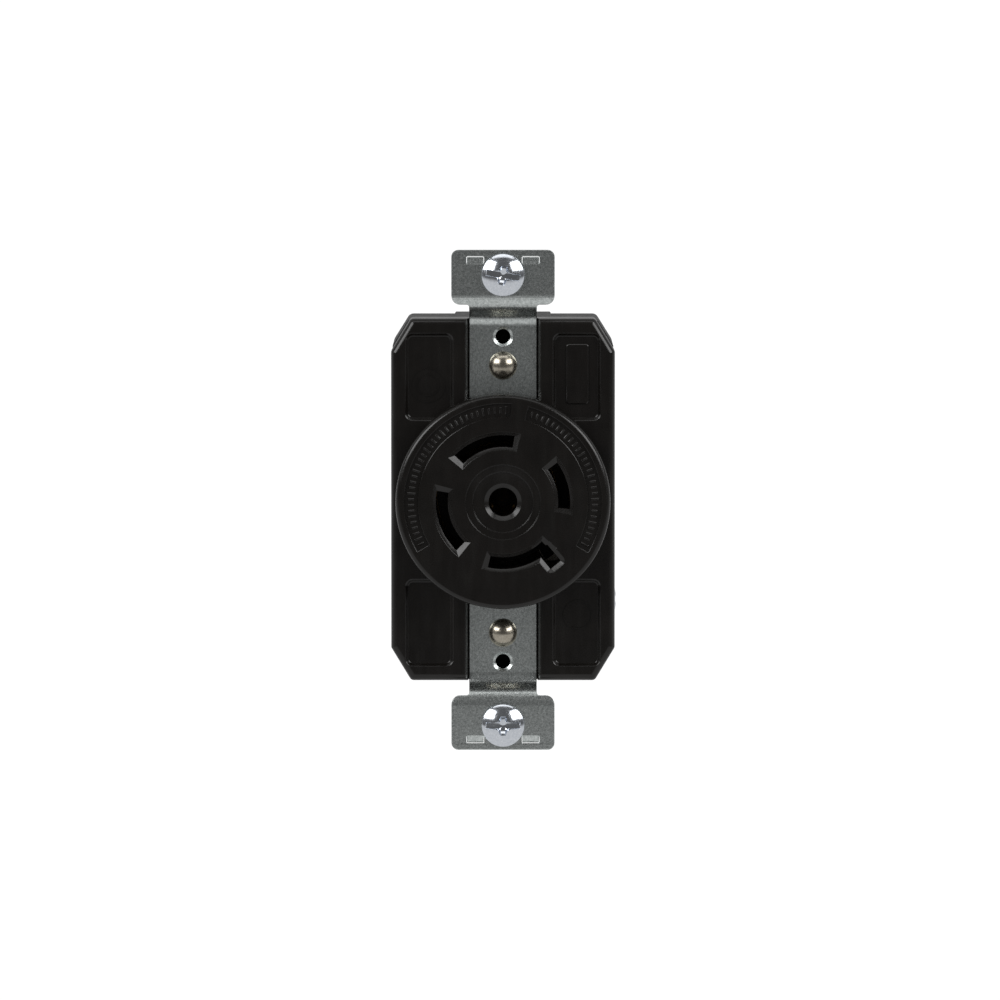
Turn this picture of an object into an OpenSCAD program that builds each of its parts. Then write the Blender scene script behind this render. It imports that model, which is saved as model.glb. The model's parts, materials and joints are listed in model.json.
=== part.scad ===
// Box-mounted locking receptacle, 20 A, four curved blade slots and a round grounding hole.
// Frame: +Z is up, the face looks towards -Y. The origin is on the axis of the grounding hole,
// level with the back of the two mounting ears.

/* [Overall fit] */
// Distance between the two mounting screws
mount_pitch = 83.34; // [83:0.01:84]
// Distance between the two tapped cover-plate holes
plate_pitch = 60.33; // [60:0.01:61]
// Distance between the two assembly rivets
rivet_pitch = 49.6; // [49:0.1:50.4]

/* [Front cover] */
// Width of the cover
cover_w = 41.4; // [41.2:0.1:42]
// Height of the cover
cover_h = 67.1; // [66.8:0.1:67.6]
// Width of the cut at each corner
cover_cut_x = 3.7; // [3.2:0.1:4.2]
// Height of the cut at each corner
cover_cut_z = 6.1; // [5.4:0.1:6.6]
// Depth at which the skirt ends
skirt_back = 8; // [7:0.5:9]
// Thickness of the skirt
skirt_t = 1.6; // [1.4:0.1:1.8]
// Thickness of the flat shoulders
shoulder_t = 2; // [1.8:0.1:2.2]
// Rounding of the front edge of the shoulders
shoulder_round = 1.1; // [0.6:0.1:1.3]
// Width of the channel that shows the strap
channel_w = 13.8; // [13.4:0.1:14.2]
// Depth of the four shallow pockets
pocket_depth = 0.9; // [0.4:0.1:1.1]

/* [Round face] */
// Diameter of the round face
face_d = 39.6; // [39.4:0.1:39.8]
// Height of the round face ahead of the shoulders
face_h = 6.5; // [5.5:0.1:7]
// Rounding of the rim of the face
face_round = 0.9; // [0.5:0.1:1.2]
// Inner radius of the blade slots
slot_in = 10.2; // [10:0.05:10.3]
// Outer radius of the blade slots
slot_out = 12.35; // [12.2:0.05:12.45]
// Width of the lead-in round each slot
flare = 0.65; // [0.4:0.05:0.8]
// Depth of the lead-in round each slot
flare_depth = 0.8; // [0.5:0.05:1]
// Radius of the grounding hole
ground_r = 2.6; // [2.5:0.05:2.6]
// Depth of the two long bands beside the rim
band_depth = 0.35; // [0.2:0.05:0.6]

/* [Mounting strap] */
// Overall length of the strap
strap_len = 92.6; // [92:0.1:94]
// Thickness of the sheet steel
strap_t = 1.3; // [1.2:0.05:1.3]
// Width of each ear
ear_w = 19.1; // [18:0.1:20]
// Height of each ear
ear_h = 10.4; // [10:0.1:10.6]
// Width of the strap between the ears and the face
neck_w = 12.5; // [12:0.1:13]
// Inside radius of the bends
bend_r = 1; // [0.8:0.1:1.2]
// Angle of the bends
bend_angle = 58; // [50:1:62]

/* [Back body] */
// Width of the back body
body_w = 41; // [40.8:0.1:41.2]
// Height of the back body
body_h = 66.2; // [66:0.1:66.8]
// Depth at which the back body ends
body_back = 33; // [32:0.5:36]
// Height of the raised middle of the top and bottom ends
end_rib_h = 0.35; // [0.2:0.05:0.6]

/* [Screws and rivets] */
// Diameter of the heads of the mounting screws
mount_head_d = 7.9; // [7:0.1:8.2]
// Height of the heads of the mounting screws
mount_head_h = 2.2; // [1.8:0.1:2.4]
// Turn of the upper mounting screw's slot
upper_turn = 9.5; // [-180:0.5:180]
// Length of the mounting screws below the head
mount_screw_len = 19; // [16:0.5:25]
// Diameter of the rivets' domes
rivet_head_d = 5.25; // [4.8:0.05:5.6]
// Height of the rivets' domes
rivet_head_h = 1.9; // [1.4:0.1:2]

/* [Terminals] */
// Height of the side terminals above and below the centre
terminal_z = 20; // [19.8:0.1:20.2]
// Depth of the terminal screws
terminal_y = 20; // [19.9:0.1:20.4]
// Side position of the grounding terminal
ground_terminal_x = 13; // [12.8:0.1:13.1]
// Diameter of the terminal screws' heads
terminal_head_d = 8; // [7.4:0.1:8.2]
// How far the lower right screw stands further out than the others
lower_right_out = 1.9; // [0:0.1:2]
// How far the grounding screw stands further out than the others
ground_out = 1.2; // [0:0.1:1.4]

/* [Hidden] */
$fn = 72;

// Cutters run this far past what they cut
over = 1;
// Gap round parts that drop into a recess
loose = 0.3;
// Gap between a screw's head and what it sits on
seat_gap = 0.02;
// How far two solids of one piece reach into each other
bury = 0.2;

// Colours
black = [0.10, 0.10, 0.11];
back_black = [0.13, 0.13, 0.14];
zinc = [0.72, 0.73, 0.75];
nickel = [0.72, 0.66, 0.55];
brass = [0.80, 0.63, 0.28];
steel = [0.60, 0.61, 0.63];
fibre = [0.55, 0.42, 0.30];
green = [0.16, 0.50, 0.25];

// The strap is recessed by the thickness of the shoulders
strap_back = shoulder_t + strap_t;
channel_back = strap_back + 0.1;
strap_ring_out = 19;
strap_ring_in = 16;
// Height at which each ear begins to bend back, and at which the strap is flat again
bend_slope = (shoulder_t - 2 * bend_r + (2 * bend_r + strap_t) * cos(bend_angle)) / sin(bend_angle);
bend_top = 36.9;
bend_foot = bend_top - (2 * bend_r + strap_t) * sin(bend_angle) - bend_slope * cos(bend_angle);
bend_steps = 8;
ear_round_out = 1.3;
ear_round_in = 2;
ear_hole_r = 2;
window_in = 3.5;
window_w = 3.25;
window_z = 43.4;
window_h = 1.7;
window_bend = 28;
window_root = 0.33;
window_gap = 0.1;
plate_hole_r = 1.37;
plate_sink_r = 1.88;
plate_sink_depth = 0.45;
rivet_r = 1.6;
rivet_gap = 0.05;
rivet_rim = 0.35;
// Formed rear end of a rivet: [radius, height, straight rim]
rivet_tail = [2.6, 1, 0.3];

// Pockets in the shoulders, and the plain marks in them
pocket_x = [9.15, 18.1];
pocket_z = [14.65, 30.9];
pocket_round = 1.4;
pad_x = [11.7, 15.8];
pad_z = [17.8, 28.85];
pad_h = 0.4;
ring_h = 0.15;
ring_w = 0.3;
// Plain rings: [x, z, radius]
rings = [[-13.9, 21.3, 2], [-13.9, 21.3, 3.15], [13.85, -21.3, 2.6]];

// Face: [first angle, last angle] of each slot, anticlockwise from +X as seen from the front
slot_y = [80.2, 135.8];
slot_x = [-5.7, 36];
slot_z = [170.3, 226];
slot_n = [257.1, 314.5];
slots = [slot_x, slot_y, slot_z, slot_n];
key_angle = 310;
key_w = 2.4;
key_out = 15.1;
flare_end = 1;
flare_inset = 0.1;
bands = [[85, 210], [-30.5, 75]];
band_in = 15.7;
band_out = 18.2;
dish_r = [6.93, 5.6];
dish_depth = [0.25, 0.5];
ground_flare_r = 3.45;
ground_flare_depth = 0.85;

// Back body
cover_gap = 0.05;
spigot_inset = skirt_t + 0.2;
body_cut_x = 3;
body_cut_z = 4.8;
end_rib_w = 18;
chamber_in = 8.7;
chamber_out = 14.2;
chamber_swing = 6;
chamber_back = 18.2;
// Rib across each chamber that stops the blades ahead of the contact's bridge: radii, depths
stop_r = [10.2, 12.3];
stop_y = [14, 16.3];
stop_root = 1.5;
// Wider end of the rib behind the key: [angles], outer radius
key_stop = [303.5, 322];
key_stop_r = 14.5;
tail_floor = 18.4;
bay_half = 4.4;
bay_front = 14.5;
bay_back = 26;
bay_reach = 12;
tab_gap = 0.5;
screw_end_gap = 0.15;
wire_hole = 5;
wire_shift = 0.8;
ground_wire_hole = 4.6;
plate_bore_r = 2.2;
plate_bore_depth = 15.3;
rivet_seat_r = 3.2;
rivet_seat_depth = 1.2;
back_panel = [10.5, 16];
back_panel_depth = 0.5;

// Contacts
leaf_t = 0.8;
leaf_in = 9.2;
leaf_out = 13.3;
leaf_front = 4;
bridge_front = 16.5;
bridge_t = 1.2;
tail_inset = 0.1;
tail_y = [bridge_front + tail_inset, bridge_front + bridge_t - tail_inset];
tab_t = 1.2;
side_tail = [10, 4];
end_tail = [10.5, 9];
link_x = 6.2;
link_z = 9;
link_h = 3.5;
tab_half = 3.5;
tab_front = 15.5;
tab_back = 25;
tab_face = 14.1;
ground_tab_face = 28.8;
spring_in = 13.42;
spring_t = 0.35;
socket_in = 2.65;
socket_out = 3.6;
socket_front = 3;
socket_slit = 0.6;
socket_slit_back = 14.5;
neutral_outer_end = 302;
spring_swing = 6;
spring_y = [5, 13];
ground_strip_front = 20.6;
ground_strip_back = ground_strip_front + bridge_t;
ground_strip_x = [2.9, 5.9];
ground_arm_half = 2.5;
ground_foot_front = 19;
bond_x = [3.1, 5.7];
bond_z = [-17.6, -16.8];
bond_t = 0.8;
bond_front_foot = -15.9;
bond_back_foot = -19.5;

// Terminals, measured outwards from the contact's tab
clamp_gap = 1.4;
clamp_t = 1.3;
clamp_w = 8;
clamp_depth = 8.6;
clamp_hole_r = 2.3;
clamp_travel_in = 1.35;
thread_r = 2.05;
thread_hole_r = 2.1;
terminal_head_h = 2.6;
// Length of a head's slot as a share of the head's width
slot_share = 0.8;
// Recess of a head: [straight rim, slot width, slot depth, cross width, cross depth]
terminal_recess = [1.4, 1.3, 1.3, 3.4, 1.7];
line_shank = 6.5;
ground_shank = 5.2;
// Lead-in at a thread's end: [length, how much narrower]
terminal_lead = [0.5, 0.4];

// Mounting screws
mount_neck_r = 1.4;
mount_thread_r = 1.75;
mount_thread_start = 3.2;
mount_recess = [0.9, 1.3, 1.1, 3.3, 1.5];
mount_lead = [0.7, 0.6];
washer_front = 2.1;
washer_t = 0.8;
washer_r = 3.4;
washer_bore_r = 1.45;

// ---- Drawing helpers ----

// Stands up an outline drawn as seen from the front, from depth y0 back to depth y1
module slab(y0, y1) {
    translate([0, y1, 0])
        rotate([90, 0, 0])
            linear_extrude(y1 - y0)
                children();
}

// A round bar along Y
module bar(x, z, y0, y1, r) {
    translate([x, 0, z])
        slab(y0, y1)
            circle(r = r);
}

// A turned shape about Y: the profile's second coordinate is the height towards the front
module turned() {
    rotate([90, 0, 0])
        rotate_extrude()
            children();
}

// Part of a ring about Y, between two radii, two depths and two angles
module sector(angles, r0, r1, y0, y1) {
    rotate([90, 0, 0])
        rotate([0, 0, angles[0]])
            rotate_extrude(angle = angles[1] - angles[0])
                translate([r0, -y1])
                    square([r1 - r0, y1 - y0]);
}

// A box given by its limits
module block(x, y, z) {
    translate([x[0], y[0], z[0]])
        cube([x[1] - x[0], y[1] - y[0], z[1] - z[0]]);
}

// The side of a corner cut whose outline is moved inwards by w
function cut_inset(along, across, w) = along + w * ((norm([along, across]) - along) / across - 1);

// A rectangle with its four corners cut, moved inwards by inset
module octagon(w, h, cut_x, cut_z, inset = 0) {
    x = w / 2 - inset;
    z = h / 2 - inset;
    cx = cut_inset(cut_x, cut_z, inset);
    cz = cut_inset(cut_z, cut_x, inset);
    polygon([
        [x - cx, z], [x, z - cz], [x, cz - z], [x - cx, -z],
        [cx - x, -z], [-x, cz - z], [-x, z - cz], [cx - x, z]
    ]);
}

module cover_outline(inset = 0) {
    octagon(cover_w, cover_h, cover_cut_x, cover_cut_z, inset);
}

// A rectangle with round corners, given by its limits
module rounded(x, z, r) {
    translate([x[0] + r, z[0]])
        square([x[1] - x[0] - 2 * r, z[1] - z[0]]);
    translate([x[0], z[0] + r])
        square([x[1] - x[0], z[1] - z[0] - 2 * r]);
    for (cx = [x[0] + r, x[1] - r], cz = [z[0] + r, z[1] - r])
        translate([cx, cz])
            circle(r = r);
}

// Points along an arc
function arc_points(c, r, a0, a1) = [
    for (i = [0:bend_steps])
        let (a = a0 + (a1 - a0) * i / bend_steps)
            c + r * [cos(a), sin(a)]
];

// ---- Front cover ----

// Shoulders with a rounded front edge
module shoulder_block() {
    hull()
        for (a = [0:15:90])
            slab(shoulder_round * (1 - cos(a)), shoulder_t)
                cover_outline(shoulder_round * (1 - sin(a)));
    slab(shoulder_t, skirt_back)
        cover_outline();
}

// Sloping end of a lead-in, at one end of a slot and a little narrower than it
module flare_slope(angle, way) {
    rotate([0, 0, angle])
        mirror([0, way > 0 ? 0 : 1, 0])
            translate([slot_in + flare_inset, 0, 0])
                rotate([90, 0, 90])
                    linear_extrude(slot_out - slot_in - 2 * flare_inset)
                        polygon([
                            [-2 * flare_inset, face_h - flare_depth - flare_inset],
                            [0, face_h - flare_depth - flare_inset],
                            [flare_end, face_h], [flare_end, face_h + over],
                            [-2 * flare_inset, face_h + over]
                        ]);
}

// Lead-in round one slot
module lead_in(angles) {
    rotate([90, 0, 0]) {
        rotate([0, 0, angles[0]])
            rotate_extrude(angle = angles[1] - angles[0])
                polygon([
                    [slot_in, face_h - flare_depth], [slot_out, face_h - flare_depth],
                    [slot_out + flare, face_h], [slot_out + flare, face_h + over],
                    [slot_in - flare, face_h + over], [slot_in - flare, face_h]
                ]);
        flare_slope(angles[0], -1);
        flare_slope(angles[1], 1);
    }
}

module slot_cut(angles) {
    sector(angles, slot_in, slot_out, -face_h - over, shoulder_t + over);
    lead_in(angles);
}

// The neutral slot's outward key
module key_cut() {
    slab(-face_h - over, shoulder_t + over)
        rotate(key_angle)
            translate([slot_in + over, -key_w / 2])
                square([key_out - slot_in - over, key_w]);
}

// Two shallow dishes and a chamfer, then the grounding hole itself
module ground_hole_cut() {
    turned()
        polygon([
            [0, face_h + over], [dish_r[0], face_h + over], [dish_r[0], face_h - dish_depth[0]],
            [dish_r[1], face_h - dish_depth[0]], [dish_r[1], face_h - dish_depth[1]],
            [ground_flare_r, face_h - dish_depth[1]],
            [ground_r, face_h - dish_depth[1] - ground_flare_depth],
            [ground_r, -shoulder_t - over], [0, -shoulder_t - over]
        ]);
}

module face_boss() {
    turned() {
        translate([0, -shoulder_t])
            square([face_d / 2, shoulder_t + face_h - face_round]);
        square([face_d / 2 - face_round, face_h]);
        translate([face_d / 2 - face_round, face_h - face_round])
            circle(r = face_round);
    }
}

// A plain raised ring on a pocket's floor
module pocket_ring(x, z, r) {
    translate([x, pocket_depth - ring_h, z])
        turned()
            translate([r - ring_w / 2, -ring_h - ring_h])
                square([ring_w, 2 * ring_h]);
}

module front_cover() {
    color(black)
        difference() {
            union() {
                difference() {
                    shoulder_block();
                    slab(shoulder_t, skirt_back + over)
                        cover_outline(skirt_t);
                    for (s = [-1, 1])
                        block(
                            [-channel_w / 2, channel_w / 2],
                            [-over, channel_back],
                            s > 0 ? [0, cover_h] : [-cover_h, 0]
                        );
                    for (sx = [0, 1], sz = [0, 1])
                        mirror([sx, 0, 0])
                            mirror([0, 0, sz])
                                slab(-over, pocket_depth)
                                    rounded(pocket_x, pocket_z, pocket_round);
                }
                face_boss();
                block(pad_x, [pocket_depth - pad_h, pocket_depth + ring_h], pad_z);
                for (r = rings)
                    pocket_ring(r[0], r[1], r[2]);
            }
            for (a = slots)
                slot_cut(a);
            key_cut();
            for (a = bands)
                sector(a, band_in, band_out, -face_h - over, band_depth - face_h);
            ground_hole_cut();
        }
}

// ---- Mounting strap ----

// Outline of the strap seen from the front, grown by g
module strap_outline(g = 0) {
    difference() {
        union() {
            circle(r = strap_ring_out + g);
            translate([-neck_w / 2 - g, -strap_len / 2 + over])
                square([neck_w + 2 * g, strap_len - 2 * over]);
        }
        circle(r = strap_ring_in - g);
    }
}

// The upper ear seen from the front
module ear_outline() {
    top = strap_len / 2;
    foot = top - ear_h;
    intersection() {
        rounded([-ear_w / 2, ear_w / 2], [foot - ear_h, top], ear_round_out);
        rounded([-ear_w / 2, ear_w / 2], [foot, top + ear_h], ear_round_in);
    }
}

// Side view of the upper half of the strap: [depth, height]
module strap_profile() {
    c1 = [bend_r, bend_top];
    c2 = [shoulder_t - bend_r, bend_foot];
    polygon(concat(
        [[-strap_t, strap_len / 2 + over]],
        arc_points(c1, bend_r + strap_t, 180, 180 + bend_angle),
        arc_points(c2, bend_r, bend_angle, 0),
        [[shoulder_t, -over], [strap_back, -over]],
        arc_points(c2, bend_r + strap_t, 0, bend_angle),
        arc_points(c1, bend_r, 180 + bend_angle, 180),
        [[0, strap_len / 2 + over]]
    ));
}

// One half of the bent sheet, with its windows and holes
module strap_half() {
    difference() {
        intersection() {
            rotate([90, 0, 90])
                linear_extrude(2 * strap_ring_out + 2 * over, center = true)
                    strap_profile();
            slab(-strap_t - over, strap_back + over)
                intersection() {
                    union() {
                        strap_outline();
                        ear_outline();
                    }
                    translate([-strap_len / 2, 0])
                        square([strap_len, strap_len]);
                }
        }
        bar(0, mount_pitch / 2, -strap_t - over, over, ear_hole_r);
        bar(0, rivet_pitch / 2, shoulder_t - over, strap_back + over, rivet_r + rivet_gap);
        for (s = [0, 1])
            mirror([s, 0, 0])
                block(
                    [window_in, window_in + window_w],
                    [-strap_t - over, over],
                    [window_z, window_z + window_h]
                );
    }
    for (s = [0, 1])
        mirror([s, 0, 0])
            translate([window_in + window_gap, -strap_t, window_z + window_root])
                rotate([-window_bend, 0, 0])
                    cube([window_w - 2 * window_gap, strap_t, window_h - window_root]);
}

module plate_hole_cut(z) {
    bar(0, z, shoulder_t - over, strap_back + over, plate_hole_r);
    translate([0, shoulder_t + plate_sink_depth, z])
        rotate([90, 0, 0])
            cylinder(h = plate_sink_depth, r1 = plate_hole_r, r2 = plate_sink_r);
}

module mounting_strap() {
    color(zinc)
        difference() {
            union() {
                strap_half();
                mirror([0, 0, 1])
                    strap_half();
            }
            plate_hole_cut(plate_pitch / 2);
            plate_hole_cut(-plate_pitch / 2);
        }
}

// ---- Back body ----

// Places children at terminal i, with +Z outwards from the outer face of the contact's tab
TERMINAL_SIDE = [[1, 1], [-1, 1], [-1, -1], [1, -1]];
module at_terminal(i) {
    if (i < 4)
        translate([TERMINAL_SIDE[i][0] * tab_face, terminal_y, TERMINAL_SIDE[i][1] * terminal_z])
            rotate([0, TERMINAL_SIDE[i][0] * 90, 0])
                children();
    else
        translate([ground_terminal_x, terminal_y, -ground_tab_face])
            rotate([0, 180, 0])
                children();
}

// Bay for one terminal, open outwards, with a pocket for the screw's end and a way in for the tab
module bay_cut(i, shank) {
    at_terminal(i) {
        translate([-bay_half, bay_front - terminal_y, -tab_t - tab_gap])
            cube([2 * bay_half, bay_back - bay_front, bay_reach]);
        translate([0, 0, clamp_gap + clamp_t - clamp_travel_in - shank - screw_end_gap])
            cylinder(h = shank, r = clamp_hole_r);
        translate([-tab_half - loose, shoulder_t - terminal_y, -tab_t - tab_gap])
            cube([2 * tab_half + 2 * loose, bay_front - shoulder_t + over, tab_t + 2 * tab_gap]);
    }
}

// Square hole from the back for one wire, centred on the gap under the clamp
module wire_cut(i, size, outwards) {
    at_terminal(i)
        translate([-size / 2, bay_back - terminal_y - over, clamp_gap / 2 + outwards - size / 2])
            cube([size, body_back - bay_back + 2 * over, size]);
}

// Room for one contact, with the blade stop left standing in it
module chamber_cut(angles) {
    ends = [angles[0] - chamber_swing, angles[1] + chamber_swing];
    difference() {
        sector(ends, chamber_in, chamber_out, shoulder_t - over, chamber_back);
        sector([ends[0] - stop_root, ends[1] + stop_root], stop_r[0], stop_r[1], stop_y[0], stop_y[1]);
        if (angles == slot_n)
            sector(key_stop, stop_r[0], key_stop_r, stop_y[0], stop_y[1]);
    }
}

// Room in front of a side contact's tail
module tail_cut(side, from) {
    x = [from[0] - loose, tab_face + tab_gap];
    z = [from[1] - loose, terminal_z + tab_half + loose];
    mirror([side[0] > 0 ? 0 : 1, 0, 0])
        mirror([0, 0, side[1] > 0 ? 0 : 1])
            block(x, [shoulder_t - over, tail_floor], z);
}

module back_body() {
    color(back_black)
        difference() {
            union() {
                slab(shoulder_t + cover_gap, skirt_back + over)
                    cover_outline(spigot_inset);
                slab(skirt_back + cover_gap, body_back)
                    octagon(body_w, body_h, body_cut_x, body_cut_z);
                block([-end_rib_w / 2, end_rib_w / 2], [skirt_back + cover_gap, body_back],
                    [-body_h / 2 - end_rib_h, body_h / 2 + end_rib_h]);
            }
            slab(shoulder_t - over, strap_back)
                strap_outline(loose);
            slab(body_back - back_panel_depth, body_back + over)
                rounded([-back_panel[0], back_panel[0]], [-back_panel[1], back_panel[1]], pocket_round);
            for (a = slots)
                chamber_cut(a);
            tail_cut([1, 1], side_tail);
            tail_cut([-1, -1], side_tail);
            tail_cut([-1, 1], end_tail);
            tail_cut([1, -1], end_tail);
            block([-tab_face, loose - link_x], [shoulder_t - over, tail_floor],
                [link_z - loose, link_z + link_h + loose]);
            block([link_x - loose, tab_face], [shoulder_t - over, tail_floor],
                [-link_z - link_h - loose, loose - link_z]);
            bar(0, 0, shoulder_t - over, ground_strip_back + loose, socket_out + loose);
            block([0, ground_strip_x[1] + loose], [shoulder_t - over, ground_strip_back + loose],
                [-ground_arm_half - loose, ground_arm_half + loose]);
            block([ground_strip_x[0] - loose, ground_strip_x[1] + loose],
                [shoulder_t - over, ground_strip_back + loose], [-ground_tab_face - loose, 0]);
            block([ground_strip_x[0] - loose, ground_terminal_x + tab_half], [shoulder_t - over, bay_back],
                [-ground_tab_face - tab_gap, -ground_tab_face + tab_t + tab_gap]);
            for (i = [0:3]) {
                bay_cut(i, line_shank);
                wire_cut(i, wire_hole, wire_shift);
            }
            bay_cut(4, ground_shank);
            wire_cut(4, ground_wire_hole, 0);
            for (s = [-1, 1]) {
                bar(0, s * plate_pitch / 2, shoulder_t - over, plate_bore_depth, plate_bore_r);
                bar(0, s * rivet_pitch / 2, shoulder_t - over, body_back + over, rivet_r + 2 * rivet_gap);
                bar(0, s * rivet_pitch / 2, body_back - rivet_seat_depth, body_back + over, rivet_seat_r);
            }
        }
}

// ---- Rivets and mounting screws ----

// A dome with a short straight rim, standing on z = 0
module dome(r, h, rim) {
    crown = h - rim;
    dome_r = (r * r + crown * crown) / (2 * crown);
    intersection() {
        cylinder(h = h, r = r);
        translate([0, 0, h - dome_r])
            sphere(r = dome_r);
    }
}

module rivet(z) {
    seat = body_back - rivet_seat_depth;
    color(nickel)
        translate([0, 0, z])
            rotate([90, 0, 0])
                union() {
                    translate([0, 0, -shoulder_t])
                        dome(rivet_head_d / 2, rivet_head_h, rivet_rim);
                    translate([0, 0, -seat - bury])
                        cylinder(h = seat - shoulder_t + 2 * bury, r = rivet_r);
                    translate([0, 0, -seat])
                        mirror([0, 0, 1])
                            dome(rivet_tail[0], rivet_tail[1], rivet_tail[2]);
                }
}

// A domed head with a slot and a cross recess: [straight rim, slot width and depth, cross width and depth]
module combination_head(r, h, recess) {
    slot_w = recess[1];
    cross_w = recess[3];
    cross_arm = cross_w / 3.5;
    difference() {
        dome(r, h, recess[0]);
        translate([-slot_share * r, -slot_w / 2, h - recess[2]])
            cube([2 * slot_share * r, slot_w, recess[2] + over]);
        for (turn = [0, 90])
            rotate([0, 0, turn])
                translate([-cross_w / 2, -cross_arm / 2, h - recess[4]])
                    cube([cross_w, cross_arm, recess[4] + over]);
    }
}

// A threaded end that points down from z = 0, with a lead-in: [length, how much narrower]
module thread_end(length, r, lead) {
    translate([0, 0, lead[0] - length])
        cylinder(h = length - lead[0], r = r);
    translate([0, 0, -length])
        cylinder(h = lead[0], r1 = r - lead[1], r2 = r);
}

module mounting_screw(z, turn) {
    thread = mount_screw_len - strap_t - mount_thread_start;
    color(zinc)
        translate([0, 0, z])
            rotate([90, turn, 0])
                union() {
                    translate([0, 0, strap_t + seat_gap])
                        combination_head(mount_head_d / 2, mount_head_h, mount_recess);
                    translate([0, 0, -mount_thread_start - bury])
                        cylinder(h = mount_thread_start + strap_t + 2 * bury, r = mount_neck_r);
                    translate([0, 0, -mount_thread_start])
                        thread_end(thread, mount_thread_r, mount_lead);
                }
}

module retainer_washer(z) {
    color(fibre)
        translate([0, 0, z])
            slab(washer_front, washer_front + washer_t)
                difference() {
                    circle(r = washer_r);
                    circle(r = washer_bore_r);
                }
}

// ---- Contacts ----

// Two curved leaves and the bridge behind them
module leaves(angles, outer_angles) {
    sector(angles, leaf_in, leaf_in + leaf_t, leaf_front, bridge_front + bridge_t);
    sector(outer_angles, leaf_out - leaf_t, leaf_out, leaf_front, bridge_front + bridge_t);
    sector(angles, leaf_in, leaf_out, bridge_front, bridge_front + bridge_t);
}

// Tail from the bridge to the terminal, and the tapped tab at its end
module tail(side, from) {
    mirror([side[0] > 0 ? 0 : 1, 0, 0])
        mirror([0, 0, side[1] > 0 ? 0 : 1]) {
            block([from[0], tab_face], tail_y, [from[1], terminal_z + tab_half]);
            block([tab_face - tab_t, tab_face], [tab_front, tab_back],
                [terminal_z - tab_half, terminal_z + tab_half]);
        }
}

module thread_hole(i) {
    at_terminal(i)
        translate([0, 0, -tab_t - over])
            cylinder(h = tab_t + 2 * over, r = thread_hole_r);
}

module contact_line_x() {
    color(brass)
        difference() {
            union() {
                leaves(slot_x, slot_x);
                tail([1, 1], side_tail);
            }
            thread_hole(0);
        }
}

module contact_line_y() {
    color(brass)
        difference() {
            union() {
                leaves(slot_y, slot_y);
                tail([-1, 1], end_tail);
                block([-tab_face, -link_x], tail_y, [link_z, link_z + link_h]);
            }
            thread_hole(1);
        }
}

module contact_line_z() {
    color(brass)
        difference() {
            union() {
                leaves(slot_z, slot_z);
                tail([-1, -1], side_tail);
            }
            thread_hole(2);
        }
}

module contact_neutral() {
    color(nickel)
        difference() {
            union() {
                leaves(slot_n, [slot_n[0], neutral_outer_end]);
                tail([1, -1], end_tail);
                block([link_x, tab_face], tail_y, [-link_z - link_h, -link_z]);
            }
            thread_hole(3);
        }
}

module contact_ground() {
    color(brass)
        difference() {
            union() {
                bar(0, 0, socket_front, ground_strip_back, socket_out);
                block([0, ground_strip_x[1]], [ground_strip_front, ground_strip_back],
                    [-ground_arm_half, ground_arm_half]);
                block(ground_strip_x, [ground_strip_front, ground_strip_back], [-ground_tab_face, 0]);
                block([ground_strip_x[0], ground_terminal_x + tab_half], [ground_foot_front, tab_back],
                    [-ground_tab_face, -ground_tab_face + tab_t]);
                block([ground_terminal_x - tab_half, ground_terminal_x + tab_half], [tab_front, tab_back],
                    [-ground_tab_face, -ground_tab_face + tab_t]);
            }
            bar(0, 0, socket_front - over, ground_strip_back + over, socket_in);
            for (turn = [45, 135])
                rotate([0, turn, 0])
                    block([-over - socket_out, socket_out + over], [socket_front - over, socket_slit_back],
                        [-socket_slit / 2, socket_slit / 2]);
            thread_hole(4);
        }
}

// Curved leaf spring behind a contact's outer leaf
module contact_spring(angles) {
    color(steel)
        sector([angles[0] + spring_swing, angles[1] - spring_swing],
            spring_in, spring_in + spring_t, spring_y[0], spring_y[1]);
}

// Strip that bonds the grounding contact to the strap's ring
module ground_bond() {
    color(brass)
        union() {
            block(bond_x, [strap_back, ground_strip_front], bond_z);
            block(bond_x, [strap_back, strap_back + bond_t], [bond_z[0], bond_front_foot]);
            block(bond_x, [ground_strip_front - bond_t, ground_strip_front], [bond_back_foot, bond_z[1]]);
        }
}

// ---- Terminals ----

module wire_clamp(i, out) {
    color(steel)
        at_terminal(i)
            translate([0, 0, clamp_gap + out])
                difference() {
                    translate([-clamp_w / 2, -clamp_depth / 2, 0])
                        cube([clamp_w, clamp_depth, clamp_t]);
                    translate([0, 0, -over])
                        cylinder(h = clamp_t + 2 * over, r = clamp_hole_r);
                }
}

module terminal_screw(i, out, shank, tint, turn) {
    color(tint)
        at_terminal(i)
            translate([0, 0, clamp_gap + clamp_t + out])
                rotate([0, 0, turn])
                    union() {
                        combination_head(terminal_head_d / 2, terminal_head_h, terminal_recess);
                        cylinder(h = bury, r = thread_r);
                        thread_end(shank, thread_r, terminal_lead);
                    }
}

front_cover();
back_body();
mounting_strap();
rivet(rivet_pitch / 2);  // assembly_rivet_upper
rivet(-rivet_pitch / 2);  // assembly_rivet_lower
mounting_screw(mount_pitch / 2, upper_turn);  // mounting_screw_upper
mounting_screw(-mount_pitch / 2, 0);  // mounting_screw_lower
retainer_washer(mount_pitch / 2);  // retainer_washer_upper
retainer_washer(-mount_pitch / 2);  // retainer_washer_lower
contact_line_x();
contact_line_y();
contact_line_z();
contact_neutral();
contact_ground();
contact_spring(slot_x);  // contact_spring_x
contact_spring(slot_y);  // contact_spring_y
contact_spring(slot_z);  // contact_spring_z
contact_spring([slot_n[0], neutral_outer_end]);  // contact_spring_neutral
ground_bond();
terminal_screw(0, 0, line_shank, brass, 20);  // terminal_screw_x
terminal_screw(1, 0, line_shank, brass, -35);  // terminal_screw_y
terminal_screw(2, 0, line_shank, brass, 75);  // terminal_screw_z
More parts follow.
